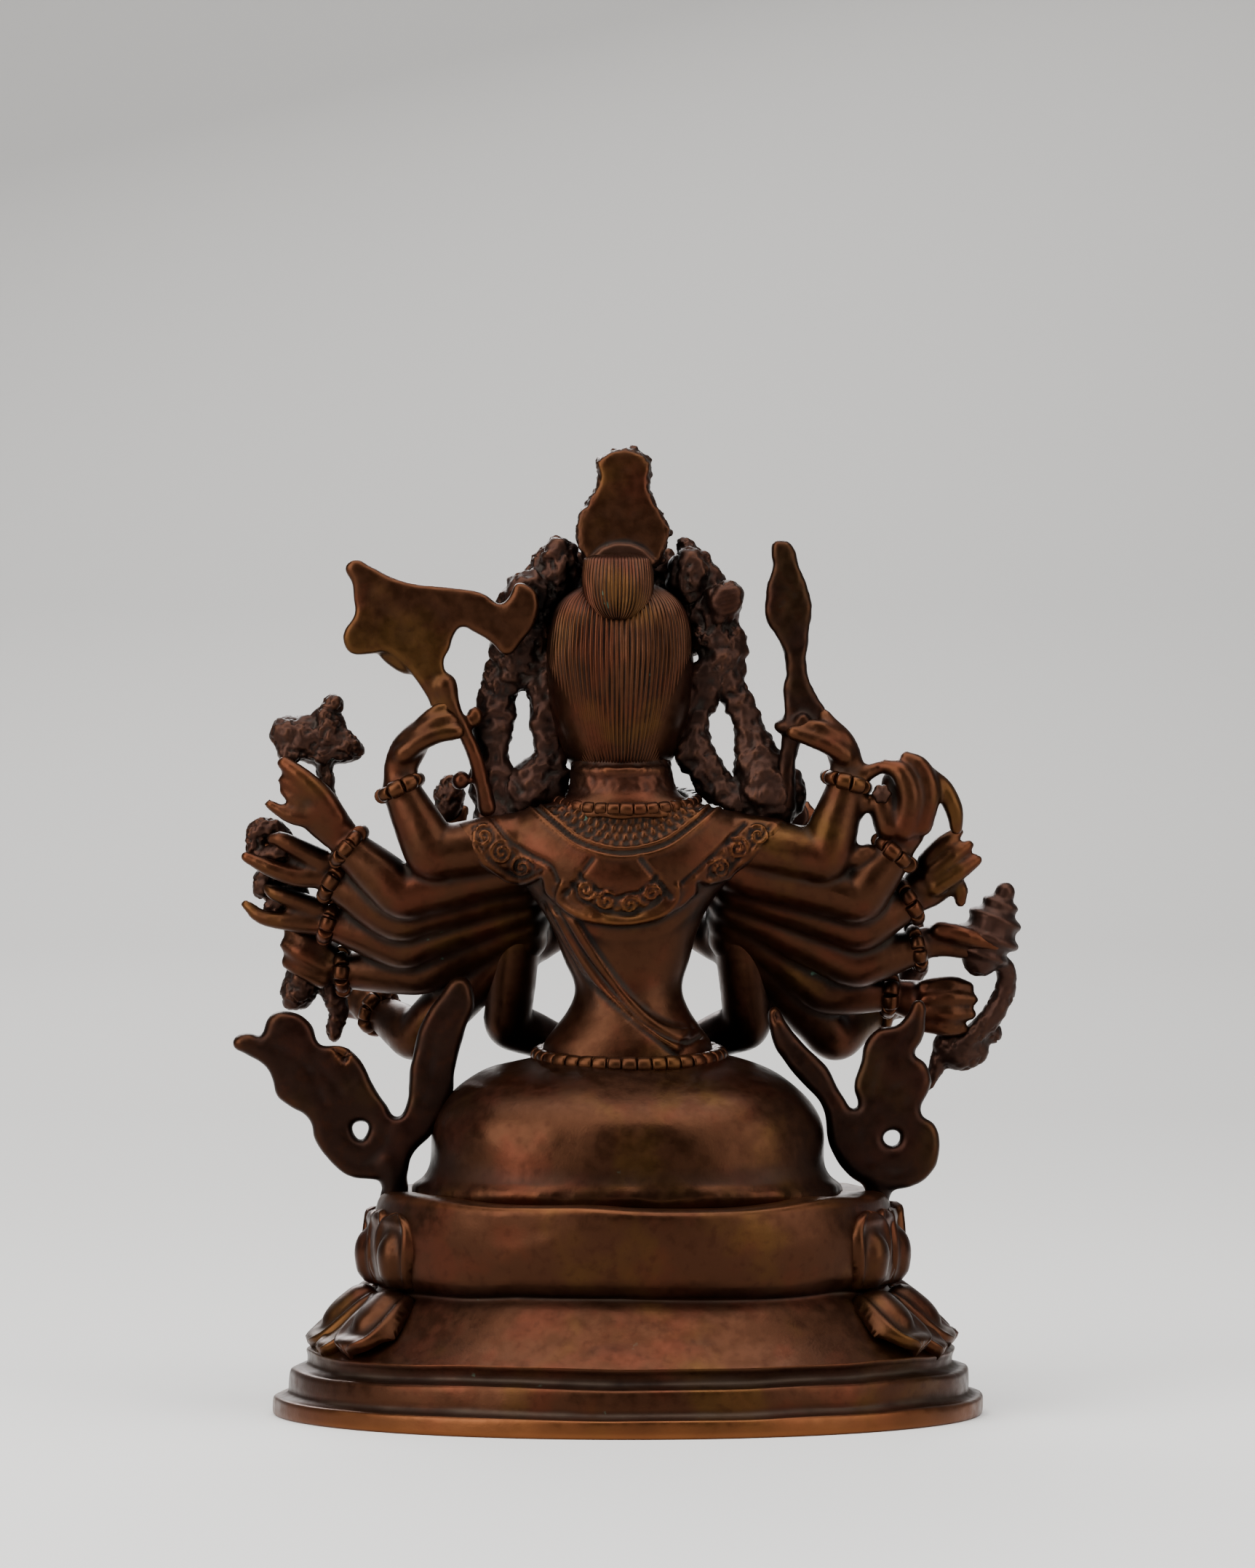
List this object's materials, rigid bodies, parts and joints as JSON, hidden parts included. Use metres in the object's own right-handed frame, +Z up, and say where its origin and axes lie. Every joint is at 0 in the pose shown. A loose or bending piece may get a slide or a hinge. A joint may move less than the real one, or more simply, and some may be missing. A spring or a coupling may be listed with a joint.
{
  "type": "cundi statue",
  "caption": "Small seated Cundi statue cast in dark patinated copper: many arms holding emblems, a tall crown, trailing scarves and an oval lotus base.",
  "frame": {"origin": "middle of the base's flat underside", "axes": "+Z up; the figure faces -Y, so +Y is the plain back of the casting; +X is the figure's own left"},
  "size_m": [0.0904, 0.0572, 0.11],
  "materials": {
    "patinated_copper": "dark brown patina, worn glossy"
  },
  "bodies": {
    "root": {"cundi_statue": "patinated_copper"}
  },
  "joints": []
}
